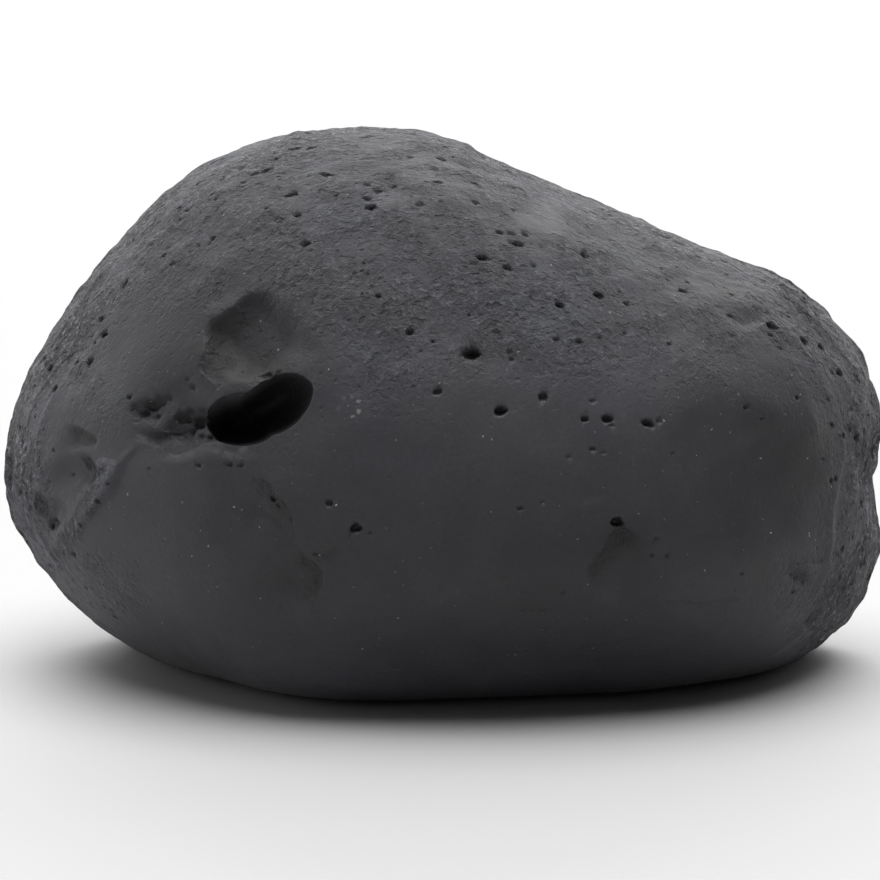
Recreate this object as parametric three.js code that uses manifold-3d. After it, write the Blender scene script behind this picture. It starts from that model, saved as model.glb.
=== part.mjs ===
import * as THREE from 'three';
import { mergeVertices } from 'three/addons/utils/BufferGeometryUtils.js';
import Module from 'manifold-3d';

// A river cobble of dark, gas-pocked lava stone, all in one piece, lying on its worn underside.
// Lengths are in millimetres and angles in degrees. The stone is laid out from its front: every point has
// a distance right and up from the middle of its outline, and a distance out toward an eye that looks
// slightly down at it. "Seen" distances are those that the eye measures on the plane of the outline.

const EYE_DISTANCE = 700;
const EYE_LOOKS_DOWN = 10;
const MIDDLE_ABOVE_GROUND = 36.2;

// The outline as the eye sees it, [right, up], clockwise from the crown. Below, it passes under the ground.
const OUTLINE = [
  [-8, 44.2], [0.5, 42.6], [8.5, 39], [19.5, 34.4], [36.8, 27.3], [45.7, 23.8], [52.9, 20.2],
  [60.7, 12.9], [64.6, 5.6], [66, -4], [65.6, -14.2], [65.2, -19.4], [61.3, -28.6], [52.8, -36],
  [44.6, -39.6], [29.5, -42.6], [8.6, -44], [-10.7, -44], [-26.4, -42], [-34, -39.5], [-43, -35.7],
  [-53.9, -28.5], [-62.6, -17.9], [-65.8, -8.2], [-63.6, 3.8], [-57.5, 14.4], [-49.8, 25.1],
  [-39.7, 36], [-29.2, 41.4], [-18.4, 43.8],
];
const MEAN_RADIUS = 52;

// How far the belly and the back stand from the outline's plane, how squarely they turn into it (0 is an
// ellipsoid), and how far the highest point of each lies from the middle, [right, up].
const BELLY = { bulge: 50.5, fullness: 0.42, shift: [3, -13] };
const BACK = { bulge: 45, fullness: 0.34, shift: [-5, -3] };
const CROWN_LEANS_BACK = 13;

// Faces worn nearly flat: the way each one faces, its distance from the middle and the softness of its edge.
const WORN_FACES = [
  { facing: [-0.3, 0.58, -0.76], distance: 43, softness: 4 },
  { facing: [0.66, 0.1, -0.74], distance: 48, softness: 4 },
  { facing: [-0.72, -0.05, -0.69], distance: 54, softness: 4 },
  { facing: [0.1, -0.55, -0.83], distance: 48, softness: 3.5 },
  { facing: [0.36, 0.84, -0.42], distance: 42, softness: 3 },
  { facing: [0.1, -0.8, 0.59], distance: 49.5, softness: 2.5 },
];

// The underside is worn down to the ground over a rounded edge, and its last sliver is flat.
const FOOT_SOFTNESS = 1.1;
const FOOT_SLIVER = 0.25;

// Hollows, ledges, scars and lumps. Each lies at a seen place, reaches [left, right, down, up] from it along
// its own turned axes, and sinks in by its depth, or swells out where the depth is negative.
const FRONT_LANDFORMS = {
  rightHollow: { at: [45.6, -6.3], reach: [13, 16, 14, 10], turn: 0, depth: 3 },
  scoop: { at: [-29.7, 13.7], reach: [7.5, 8.5, 10, 3.6], turn: 48, depth: 2.9 },
  troughBesideSocket: { at: [-38.1, 0.6], reach: [9, 9, 5, 8], turn: 4, depth: 2.2 },
  ledge: { at: [-36.7, -5.5], reach: [11, 12, 3.4, 2.6], turn: 2, depth: -0.7 },
  farPocket: { at: [-43.5, 1.3], reach: [3, 3.6, 2.2, 3], turn: 20, depth: 1.2 },
  nearPocket: { at: [-37.5, 0], reach: [4.2, 5, 2.2, 3.5], turn: 10, depth: 1.4 },
  upperCheek: { at: [-53.9, -3], reach: [3.4, 3.4, 2.6, 2.8], turn: 20, depth: 0.9 },
  middleCheek: { at: [-54.2, -7.2], reach: [8, 3, 4.6, 5], turn: -10, depth: 1.7 },
  lowerCheek: { at: [-58.4, -13], reach: [4, 7, 4, 6], turn: 0, depth: 1.4 },
  seam: { at: [-50.4, -10.4], reach: [11, 10, 1.8, 2.4], turn: 57, depth: 0.7 },
  edgeUnderSocket: { at: [-26.2, -10.4], reach: [8, 2, 6, 6], turn: 27, depth: 0.9 },
  scar: { at: [-22.6, -15.5], reach: [9, 2.2, 6, 3.6], turn: 0, depth: 1.6 },
  lowScar: { at: [-19.4, -24.3], reach: [7, 1.8, 5.5, 4.6], turn: 0, depth: 1.3 },
  notch: { at: [24.4, -18.3], reach: [2.4, 7, 5.5, 3.6], turn: 0, depth: 1.5 },
  crownDimple: { at: [-8.5, 34.3], reach: [4, 4, 3, 3], turn: 0, depth: 0.8 },
  shoulderDimple: { at: [46.2, 14.6], reach: [3, 3.4, 2, 2.4], turn: 0, depth: 0.9 },
  leftDimple: { at: [-24.9, 27.6], reach: [5, 4, 3, 3], turn: 0, depth: 0.6 },
  rightCrevice: { at: [63.5, -7.4], reach: [3, 3, 9, 8], turn: 5, depth: 2 },
  rightLump: { at: [65.9, -4.5], reach: [3, 3, 6, 7], turn: 5, depth: -1.2 },
};
const BACK_LANDFORMS = {
  hollow: { at: [24, 2], reach: [17, 15, 12, 11], turn: 20, depth: 3.2 },
  scoop: { at: [-26, -8], reach: [11, 13, 8, 6], turn: -25, depth: 2.6 },
  ridge: { at: [-4, 14], reach: [6, 7, 18, 14], turn: 15, depth: -1.6 },
  pocket: { at: [6, -18], reach: [7, 6, 5, 4], turn: 0, depth: 1.8 },
  lowLump: { at: [-34, -24], reach: [12, 12, 8, 8], turn: 0, depth: -1.5 },
  topDip: { at: [14, 28], reach: [10, 12, 6, 8], turn: -22, depth: 1.6 },
  leftChip: { at: [-52, 6], reach: [6, 7, 9, 8], turn: 0, depth: 1.8 },
};

// Slow unevenness of the whole skin: waves that run along a vector, in radians per millimetre.
const WAVES = [
  { along: [0.16, 0.06, 0.1], phase: 0.4, height: 0.45 },
  { along: [-0.07, 0.19, 0.08], phase: 1.9, height: 0.4 },
  { along: [0.1, -0.12, 0.2], phase: 3.1, height: 0.35 },
  { along: [0.27, 0.14, -0.12], phase: 5, height: 0.22 },
  { along: [-0.18, 0.25, 0.19], phase: 2.2, height: 0.2 },
  { along: [0.09, 0.33, -0.2], phase: 0.9, height: 0.15 },
];
const FRONT_WAVE_SHARE = 0.25;

// Where the marks of the front and of the back fade out round the stone's edge, and where the waves grow,
// by how far a direction points out (1) or back (-1).
const FRONT_MARKS_FADE = [-0.12, 0.12];
const BACK_MARKS_FADE = [-0.3, -0.05];
const WAVES_FADE = [-0.35, 0.1];

// The socket, one deep eye-shaped hole with a shallower lobe at its left end.
const SOCKET = [
  { at: [-26.4, 1.5], half: [7.4, 4.3], turn: 24, depth: 14 },
  { at: [-31.6, -1.4], half: [4.4, 3], turn: 8, depth: 6 },
];

// The larger gas pockets of the front, [right, up, radius] as seen.
const PITS = [
  [4.5, 9.8, 1.1], [8.7, 1.2, 1], [15, 3.3, 0.8], [21.3, 0, 0.7], [24.7, 0, 0.9], [30.7, -0.6, 0.9],
  [8.6, 28, 0.7], [12.5, 27.6, 0.7], [11.4, 26.3, 0.9], [6, 24.2, 0.8], [21.3, 24.6, 0.9], [9.8, 22.8, 0.8],
  [23.3, 18.4, 0.9], [17.6, 17, 0.8], [27.5, 17.3, 0.7], [35.9, 19, 0.8], [43, 15.3, 0.7], [49, 13.8, 1],
  [53.8, 11.5, 0.9], [56.4, 10.7, 0.8], [58.3, 7.6, 0.8], [60, 6.2, 0.9], [-4.9, 12.8, 0.7], [-0.7, 4, 0.7],
  [-13, -16.4, 0.9], [-25.4, -12, 0.8], [26.1, -15.5, 1], [11.6, -13.4, 0.7], [-20.3, 26, 0.8],
  [-22.3, 33.8, 0.9], [-26, 37, 1], [-47.3, 20, 0.9], [-50.5, 12.7, 0.9], [-52.8, 8.6, 0.8], [-57.6, 4.5, 0.8],
];
// A pocket's sphere lies this share of its radius under the skin.
const PIT_SINK = 0.35;

// Gas pockets of the back, spread by the golden angle, with radii that repeat in a short cycle.
const BACK_PITS = 22;
const BACK_PITS_OUT = [-0.1, -0.95];
const BACK_PIT_RADII = [0.9, 1.3, 0.8, 1, 1.5];
const GOLDEN_ANGLE = Math.PI * (3 - Math.sqrt(5));

// Fineness: steps between two points of the outline, divisions of the icosahedron's edges, and how much
// closer these lie on the front.
const OUTLINE_STEPS = 48;
const STONE_DETAIL = 15;
const FRONT_CROWDING = 0.22;
const SOCKET_DETAIL = 3;
const GROUND_BLOCK = 300;

const STONE_COLOUR = 0x3b3c40;

const outlineCurve = new THREE.CatmullRomCurve3(
  OUTLINE.map(([right, up]) => new THREE.Vector3(right, up, 0)),
  true,
  'catmullrom',
  0.5,
);
const outlineSamples = outlineCurve
  .getPoints(OUTLINE.length * OUTLINE_STEPS)
  .map((point) => ({ angle: Math.atan2(point.y, point.x), radius: Math.hypot(point.x, point.y) }))
  .sort((one, other) => one.angle - other.angle);

// Distance from the middle to the outline in a direction, between the two nearest samples of the curve.
function outlineRadius(angle) {
  let low = 0;
  let high = outlineSamples.length - 1;
  if (angle <= outlineSamples[low].angle || angle >= outlineSamples[high].angle) {
    return outlineSamples[low].radius;
  }
  while (high - low > 1) {
    const half = (low + high) >> 1;
    if (outlineSamples[half].angle > angle) high = half;
    else low = half;
  }
  const before = outlineSamples[low];
  const after = outlineSamples[high];
  const share = (angle - before.angle) / (after.angle - before.angle);
  return THREE.MathUtils.lerp(before.radius, after.radius, share);
}

// A seen place at a distance out, as a real point: nearer things look larger, so they are really smaller.
function seenPoint(right, up, out) {
  const nearness = 1 - out / EYE_DISTANCE;
  return new THREE.Vector3(right * nearness, up * nearness, out);
}

// The pebble without its marks. A direction's right and up parts choose the place inside the outline, and
// its out part the bulge, so the outline is met exactly where the direction lies sideways.
function pebblePoint(direction) {
  const side = direction.z > 0 ? BELLY : BACK;
  const sideways = Math.hypot(direction.x, direction.y);
  const edge = sideways * sideways;
  const rim = outlineRadius(Math.atan2(direction.y, direction.x));
  const radius = THREE.MathUtils.lerp(MEAN_RADIUS, rim, edge);
  const facing = direction.z * direction.z;
  const right = side.shift[0] * facing + radius * direction.x;
  const up = side.shift[1] * facing + radius * direction.y;
  const bulge = side.bulge * direction.z * (1 + side.fullness * edge);
  return seenPoint(right, up, bulge - CROWN_LEANS_BACK * (0.5 + 0.5 * direction.y) * edge);
}

// Which way is down to the ground for the eye's right, up and out.
const DOWN = new THREE.Vector3(0, -1, 0).applyAxisAngle(
  new THREE.Vector3(1, 0, 0),
  THREE.MathUtils.degToRad(EYE_LOOKS_DOWN),
);

// Moves a point that stands past a worn face back to it, with a soft edge.
function wearFace(point, normal, distance, softness) {
  const past = (point.dot(normal) - distance) / softness;
  return point.addScaledVector(normal, -softness * Math.log1p(Math.exp(past)));
}

function wearDown(point) {
  for (const { facing, distance, softness } of WORN_FACES) {
    wearFace(point, new THREE.Vector3(...facing).normalize(), distance, softness);
  }
  return point;
}

// Sum of the landforms at a seen place. Each is (1 - q squared) squared, with q the distance from its
// centre in units of its reach on that side.
function landformDepth(landforms, right, up) {
  let sum = 0;
  for (const { at, reach, turn, depth } of Object.values(landforms)) {
    const [left, rightward, down, upward] = reach;
    const cos = Math.cos(THREE.MathUtils.degToRad(turn));
    const sin = Math.sin(THREE.MathUtils.degToRad(turn));
    const along = (right - at[0]) * cos + (up - at[1]) * sin;
    const across = (up - at[1]) * cos - (right - at[0]) * sin;
    const q = Math.hypot(along / (along < 0 ? left : rightward), across / (across < 0 ? down : upward));
    if (q < 1) sum += depth * (1 - q * q) ** 2;
  }
  return sum;
}

function waveHeight(point) {
  return WAVES.reduce(
    (sum, { along, phase, height }) => sum + height * Math.sin(point.dot(new THREE.Vector3(...along)) + phase),
    0,
  );
}

// How far the skin sinks in at a point of the pebble.
function skinDepth(point, direction) {
  const nearness = 1 - point.z / EYE_DISTANCE;
  const right = point.x / nearness;
  const up = point.y / nearness;
  const front = THREE.MathUtils.smoothstep(direction.z, ...FRONT_MARKS_FADE);
  const back = 1 - THREE.MathUtils.smoothstep(direction.z, ...BACK_MARKS_FADE);
  const calm = THREE.MathUtils.smoothstep(direction.z, ...WAVES_FADE);
  return (
    front * landformDepth(FRONT_LANDFORMS, right, up) +
    back * landformDepth(BACK_LANDFORMS, right, up) +
    THREE.MathUtils.lerp(1, FRONT_WAVE_SHARE, calm) * waveHeight(point)
  );
}

// Turns a direction toward the eye, so that the front of the stone has the finer faces.
function crowdToFront(direction) {
  const angle = Math.acos(THREE.MathUtils.clamp(direction.z, -1, 1));
  const turned = angle - FRONT_CROWDING * Math.sin(angle);
  const sideways = Math.hypot(direction.x, direction.y) || 1;
  const scale = Math.sin(turned) / sideways;
  return new THREE.Vector3(direction.x * scale, direction.y * scale, Math.cos(turned));
}

function merged(geometry) {
  geometry.deleteAttribute('normal');
  geometry.deleteAttribute('uv');
  return mergeVertices(geometry, 1e-5);
}

// The whole skin: an icosahedron's points are moved to the worn pebble, then along its own normals.
function makeSkin() {
  const geometry = merged(new THREE.IcosahedronGeometry(1, STONE_DETAIL));
  const position = geometry.attributes.position;
  const directions = [];
  for (let i = 0; i < position.count; i += 1) {
    directions.push(crowdToFront(new THREE.Vector3().fromBufferAttribute(position, i).normalize()));
    position.setXYZ(i, ...wearDown(pebblePoint(directions[i])));
  }
  geometry.computeVertexNormals();
  for (let i = 0; i < position.count; i += 1) {
    const point = new THREE.Vector3().fromBufferAttribute(position, i);
    const normal = new THREE.Vector3().fromBufferAttribute(geometry.attributes.normal, i);
    point.addScaledVector(normal, -skinDepth(point, directions[i]));
    position.setXYZ(i, ...wearFace(point, DOWN, MIDDLE_ABOVE_GROUND, FOOT_SOFTNESS));
  }
  return geometry;
}

// Where a line meets the skin, and which way the skin faces there.
function skinHit(skin, from, direction) {
  const probe = new THREE.Mesh(skin, new THREE.MeshBasicMaterial({ side: THREE.DoubleSide }));
  const [hit] = new THREE.Raycaster(from, direction.clone().normalize()).intersectObject(probe);
  return { point: hit.point, normal: hit.face.normal };
}

function seenOnSkin(skin, right, up) {
  const eye = new THREE.Vector3(0, 0, EYE_DISTANCE);
  return skinHit(skin, eye, new THREE.Vector3(right, up, -EYE_DISTANCE));
}

// An ellipsoid as long as the hole is deep, centred on the skin and pointing at the eye.
function socketHollow(skin, { at, half, turn, depth }) {
  const { point } = seenOnSkin(skin, ...at);
  const hollow = new THREE.IcosahedronGeometry(1, SOCKET_DETAIL);
  hollow.scale(half[0], half[1], depth);
  hollow.rotateZ(THREE.MathUtils.degToRad(turn));
  return hollow.translate(point.x, point.y, point.z);
}

// A small sphere sunk a little under the skin, which leaves a round mouth.
function gasPocket({ point, normal }, radius) {
  const centre = point.clone().addScaledVector(normal, -PIT_SINK * radius);
  return new THREE.OctahedronGeometry(radius, 1).translate(centre.x, centre.y, centre.z);
}

function backPitDirection(index) {
  const out = THREE.MathUtils.lerp(...BACK_PITS_OUT, (index + 0.5) / BACK_PITS);
  const sideways = Math.sqrt(1 - out * out);
  const angle = index * GOLDEN_ANGLE;
  return new THREE.Vector3(sideways * Math.cos(angle), sideways * Math.sin(angle), out);
}

// From the layout seen by the eye to upright on the ground.
function standUp(geometry) {
  geometry.rotateX(THREE.MathUtils.degToRad(90 - EYE_LOOKS_DOWN));
  return geometry.translate(0, 0, MIDDLE_ABOVE_GROUND - FOOT_SLIVER);
}

const wasm = await Module();
wasm.setup();

function toSolid(geometry) {
  const welded = merged(geometry.clone());
  return new wasm.Manifold(
    new wasm.Mesh({
      numProp: 3,
      vertProperties: new Float32Array(welded.attributes.position.array),
      triVerts: new Uint32Array(welded.index.array),
    }),
  );
}

function toGeometry(solid) {
  const { vertProperties, triVerts } = solid.getMesh();
  const geometry = new THREE.BufferGeometry();
  geometry.setAttribute('position', new THREE.BufferAttribute(vertProperties, 3));
  geometry.setIndex(new THREE.BufferAttribute(triVerts, 1));
  geometry.computeVertexNormals();
  return geometry;
}

function makeStone() {
  const skin = makeSkin();
  const hollows = SOCKET.map((part) => socketHollow(skin, part));
  for (const [right, up, radius] of PITS) {
    hollows.push(gasPocket(seenOnSkin(skin, right, up), radius));
  }
  for (let i = 0; i < BACK_PITS; i += 1) {
    const hit = skinHit(skin, new THREE.Vector3(), backPitDirection(i));
    hollows.push(gasPocket(hit, BACK_PIT_RADII[i % BACK_PIT_RADII.length]));
  }
  const ground = new THREE.BoxGeometry(GROUND_BLOCK, GROUND_BLOCK, GROUND_BLOCK);
  let stone = toSolid(standUp(skin));
  for (const hollow of hollows) {
    stone = stone.subtract(toSolid(standUp(hollow)));
  }
  stone = stone.subtract(toSolid(ground.translate(0, 0, -GROUND_BLOCK / 2)));
  return toGeometry(stone);
}

// The origin is under the middle of the stone's box, on the ground.
const stoneGeometry = makeStone();
stoneGeometry.computeBoundingBox();
const middle = stoneGeometry.boundingBox.getCenter(new THREE.Vector3());
stoneGeometry.translate(-middle.x, -middle.y, 0);

const stone = new THREE.Mesh(
  stoneGeometry,
  new THREE.MeshStandardMaterial({ color: STONE_COLOUR, roughness: 0.78, metalness: 0 }),
);
stone.name = 'river_rock';

const cobble = new THREE.Group();
cobble.add(stone);

export default cobble;
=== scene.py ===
"""A river cobble of dark, gas-pocked lava stone, on a pale floor in soft studio light.

The stone is one closed surface. Its points are worked out with numpy from directions on a sphere, by the
formulas in the functions' docstrings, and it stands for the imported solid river_rock, in the same place.
"""

import math
from typing import NamedTuple

import bpy
import numpy as np
from bpy.props import FloatProperty, FloatVectorProperty, IntProperty, PointerProperty
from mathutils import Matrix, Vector


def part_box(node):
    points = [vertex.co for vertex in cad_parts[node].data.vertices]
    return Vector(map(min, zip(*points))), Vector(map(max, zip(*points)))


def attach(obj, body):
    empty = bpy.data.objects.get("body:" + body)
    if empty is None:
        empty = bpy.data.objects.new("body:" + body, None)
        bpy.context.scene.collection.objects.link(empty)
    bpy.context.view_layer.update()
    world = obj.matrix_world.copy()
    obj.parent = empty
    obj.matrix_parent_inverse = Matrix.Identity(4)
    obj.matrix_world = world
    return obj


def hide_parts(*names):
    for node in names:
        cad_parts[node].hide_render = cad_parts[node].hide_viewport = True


bl_info = {
    "name": "River Cobble",
    "version": (1, 0, 0),
    "blender": (4, 5, 0),
    "location": "View3D > Sidebar > Cobble",
    "description": "Builds a pitted lava-stone cobble and a small studio round it",
    "category": "Add Mesh",
}

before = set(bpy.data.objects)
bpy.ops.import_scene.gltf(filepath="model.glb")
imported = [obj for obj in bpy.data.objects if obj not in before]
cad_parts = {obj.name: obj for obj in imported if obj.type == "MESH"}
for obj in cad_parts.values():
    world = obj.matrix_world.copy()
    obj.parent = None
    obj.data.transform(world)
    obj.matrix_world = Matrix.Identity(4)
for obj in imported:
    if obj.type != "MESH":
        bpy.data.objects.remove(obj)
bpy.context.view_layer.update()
SOLID = "river_rock"

MM = 0.001

# Stands for zero in a division or under a power.
TINY = 1e-6

# The stone's layout, in millimetres. A point lies right and up from the middle of the outline, and out
# toward an eye that looks slightly down. "Seen" distances are measured by that eye on the outline's plane.
EYE_DISTANCE = 700.0
EYE_LOOKS_DOWN = math.radians(10.0)
MIDDLE_ABOVE_GROUND = 36.2

OUTLINE = np.array([
    (-8, 44.2), (0.5, 42.6), (8.5, 39), (19.5, 34.4), (36.8, 27.3), (45.7, 23.8), (52.9, 20.2),
    (60.7, 12.9), (64.6, 5.6), (66, -4), (65.6, -14.2), (65.2, -19.4), (61.3, -28.6), (52.8, -36),
    (44.6, -39.6), (29.5, -42.6), (8.6, -44), (-10.7, -44), (-26.4, -42), (-34, -39.5), (-43, -35.7),
    (-53.9, -28.5), (-62.6, -17.9), (-65.8, -8.2), (-63.6, 3.8), (-57.5, 14.4), (-49.8, 25.1),
    (-39.7, 36), (-29.2, 41.4), (-18.4, 43.8),
])
OUTLINE_STEPS = 48
MEAN_RADIUS = 52.0

# How far belly and back bulge out, how squarely they turn into the outline, and where they are highest.
BELLY = {"bulge": 50.5, "fullness": 0.42, "shift": (3.0, -13.0)}
BACK = {"bulge": 45.0, "fullness": 0.34, "shift": (-5.0, -3.0)}
CROWN_LEANS_BACK = 13.0

# Faces worn nearly flat: facing, distance from the middle, softness of the edge.
WORN_FACES = (
    ((-0.3, 0.58, -0.76), 43.0, 4.0),
    ((0.66, 0.1, -0.74), 48.0, 4.0),
    ((-0.72, -0.05, -0.69), 54.0, 4.0),
    ((0.1, -0.55, -0.83), 48.0, 3.5),
    ((0.36, 0.84, -0.42), 42.7, 2.2),
    ((0.1, -0.8, 0.59), 49.5, 2.5),
)
FOOT_SOFTNESS = 1.1
FOOT_SLIVER = 0.25


PLAIN = 2.0


class Mark(NamedTuple):
    """A hollow in the skin, or a lump where the depth is negative. It lies at a seen place and reaches
    left, right, down and up in its own turned axes. A broken side, in degrees from its own right, is crisp,
    and crisp is its power there: PLAIN for a mark without one."""

    at: tuple
    reach: tuple
    turn: float
    depth: float
    broken: float = 0.0
    crisp: float = PLAIN


FRONT_MARKS = {
    "right hollow": Mark((44.6, -7.5), (13, 15, 15, 11), 0, 1.7),
    "scoop": Mark((-25.4, 11.2), (10.8, 8, 6.5, 8), 18, 2.8, broken=145, crisp=5),
    "trough beside socket": Mark((-38.1, -0.8), (10, 9, 4, 11.5), 4, 2.3, broken=-90, crisp=4),
    "ledge": Mark((-36.7, -6.4), (11, 12, 4, 1.8), 2, -0.6),
    "far pocket": Mark((-43.6, 1.6), (2.6, 4.2, 2.2, 2.4), 35, 0.9, broken=150, crisp=4),
    "near pocket": Mark((-38.6, -0.4), (2.8, 4.4, 2.6, 2.6), 28, 1.0, broken=170, crisp=4),
    "upper cheek": Mark((-54.2, -3.3), (4.6, 2.8, 2.8, 2.5), 30, 1.0, broken=20, crisp=6),
    "middle cheek": Mark((-54.6, -8), (7, 3.4, 3.4, 3.2), 0, 1.6, broken=-10, crisp=5),
    "lower cheek": Mark((-57.4, -13.1), (3.4, 4.8, 3.4, 3.0), 0, 1.3, broken=185, crisp=4),
    "cheek cup": Mark((-58, -16.2), (1.6, 1.5, 1.1, 1.1), 15, 1.0, broken=90, crisp=4),
    "seam": Mark((-50.4, -10.4), (11, 10, 1.3, 1.3), 57, -0.6),
    "facet under socket": Mark((-27.8, -14.1), (8.5, 7, 9, 5.2), -45, 1.6, broken=60, crisp=2.4),
    "low scar": Mark((-22.3, -24.8), (8, 4.4, 7, 5.4), 0, 1.3, broken=30, crisp=2.6),
    "low scar step": Mark((-17, -20), (2.5, 3, 1.8, 0.8), 0, 0.35, broken=90, crisp=3),
    "notch": Mark((27, -24), (5.2, 8, 7, 7.4), 0, 1.4, broken=125, crisp=2.6),
    "brow over notch": Mark((22.6, -13.8), (5.5, 5, 2.6, 2), 10, -0.35),
    "low step": Mark((38.4, -27.9), (10, 9, 3.5, 0.9), 3, 0.3, broken=90, crisp=6),
    "right scratch": Mark((56.3, -21.9), (6, 5, 2.2, 0.9), 8, -0.4, broken=90, crisp=6),
    "low chip": Mark((53.3, -23.8), (1.8, 2.6, 1.2, 1.2), 15, 0.8, broken=90, crisp=4),
    "crown dimple": Mark((-8.5, 34.3), (4, 4, 3, 3), 0, 0.8),
    "shoulder dimple": Mark((46.2, 14.6), (3, 3.4, 2, 2.4), 0, 0.9),
    "left dimple": Mark((-24.9, 27.6), (5, 4, 3, 3), 0, 0.6),
    "right crevice": Mark((64.2, -7.4), (2.4, 3, 9, 8), 5, 1.8),
    "right lump": Mark((65.9, -4.5), (3, 3, 6, 7), 5, -1.2),
    "right ridge": Mark((61.4, -1.6), (0.7, 0.8, 5, 5), 16, -0.55),
    "outer right ridge": Mark((63.6, -7), (0.6, 0.7, 8, 8), 4, -0.6),
    "groove between ridges": Mark((62.3, -3.6), (0.8, 0.8, 6, 5), 9, 0.7),
    "left crevice": Mark((-63.8, -8.2), (0.5, 0.9, 3, 3), 0, 1.0, broken=180, crisp=3),
    "left nick": Mark((-65.3, -8.6), (1, 1, 1.4, 1.4), 0, 0.9),
}
BACK_MARKS = {
    "hollow": Mark((24, 2), (17, 15, 12, 11), 20, 3.2),
    "scoop": Mark((-26, -8), (11, 13, 8, 6), -25, 2.6, broken=100, crisp=7),
    "ridge": Mark((-4, 14), (6, 7, 18, 14), 15, -1.6),
    "pocket": Mark((6, -18), (7, 6, 5, 4), 0, 1.8, broken=70, crisp=7),
    "low lump": Mark((-34, -24), (12, 12, 8, 8), 0, -1.5),
    "top dip": Mark((14, 28), (10, 12, 6, 8), -22, 1.6),
    "left chip": Mark((-52, 6), (6, 7, 9, 8), 0, 1.8, broken=200, crisp=6),
}

# A broken mark's power opposite its broken side, and how squarely a place faces that side where the rim is
# soft and where it is sharp.
SOFT_SIDE = 1.4
SHARP_RIM = (0.0, 0.7)

# Raw stone shows inside a mark's broken side, coarser and with painted shade: where along the reach it
# begins and is whole, where it ends at the rim, how squarely it faces that side, and how deep a mark is
# that shows any, or all of it.
RAW_BEGINS = (0.3, 0.85)
RAW_ENDS = (1.0, 0.95)
RAW_SIDE = (0.1, 0.8)
RAW_DEPTHS = (0.4, 1.2)

# Sines: each has a height, radians per millimetre along two axes, and a phase. Marks and socket get uneven
# outlines from WANDER, by a share of it and with a phase for each axis.
WANDER = ((0.5, 0.4, 0.6, 0.0), (0.25, 1.1, -0.7, 2.1), (0.08, 1.9, 1.5, 0.7))
MARKS_WANDER = {"share": 1.0, "phases": (0.0, 2.0)}
SOCKET_WANDER = {"share": 0.3, "phases": (1.0, 4.0)}

# Thin ridges at the stone's ends, where its layers come out: side (1 is the right), how far out they begin
# and are whole, spacing and height. That beginning leans with the distance from a level. Sines bend the
# ridges and let them come and go round a mean strength.
LAYERS = (
    (1.0, (53.0, 58.0), 5.6, 0.6),
    (-1.0, (55.5, 60.0), 4.6, 0.4),
)
LAYERS_LEAN = 0.25
LAYERS_LEVEL = -8.0
LAYERS_BEND = ((0.9, 0.11, 0.0, 1.0), (0.5, 0.31, 0.12, 0.0))
LAYERS_CHANGE = ((0.45, 0.23, 0.5, 0.0),)
LAYERS_STRENGTH = 0.55
LAYERS_FADE = (-0.5, -0.1)

# Slow unevenness: waves that run along a vector in radians per millimetre, with a phase and a height.
WAVES = (
    ((0.16, 0.06, 0.1), 0.4, 0.45),
    ((-0.07, 0.19, 0.08), 1.9, 0.4),
    ((0.1, -0.12, 0.2), 3.1, 0.35),
    ((0.27, 0.14, -0.12), 5.0, 0.22),
    ((-0.18, 0.25, 0.19), 2.2, 0.2),
    ((0.09, 0.33, -0.2), 0.9, 0.15),
)
FRONT_WAVE_SHARE = 0.25
FRONT_MARKS_FADE = (-0.12, 0.12)
BACK_MARKS_FADE = (-0.3, -0.05)
WAVES_FADE = (-0.35, 0.1)

# The socket: a deep eye-shaped well and a lobe at its left end. It opens steeply at its lower right and
# by a soft slope at its upper left. Its two powers say how steep: 0.5 is an ellipsoid's wall. Small pockets
# keep off its middle, fine relief ends at its edge's depth, and its shade grows between two depths.
SOCKET = (
    {"at": (-25.6, 1.9), "reach": (6.8, 7.1, 4.2, 3.8), "turn": 30, "depth": 14.0, "powers": (0.4, 0.6)},
    {"at": (-29.4, -0.7), "reach": (5.8, 5.1, 3.5, 4.7), "turn": 0, "depth": 13.0, "powers": (0.4, 1.4)},
)
SOCKET_SOFT_SIDE = 120.0
SOCKET_MIDDLE = (-27.5, 0.5)
SOCKET_EDGE = 2.0
SOCKET_SHADE = 0.85
SOCKET_SHADE_DEPTHS = (1.5, 8.0)

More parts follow.
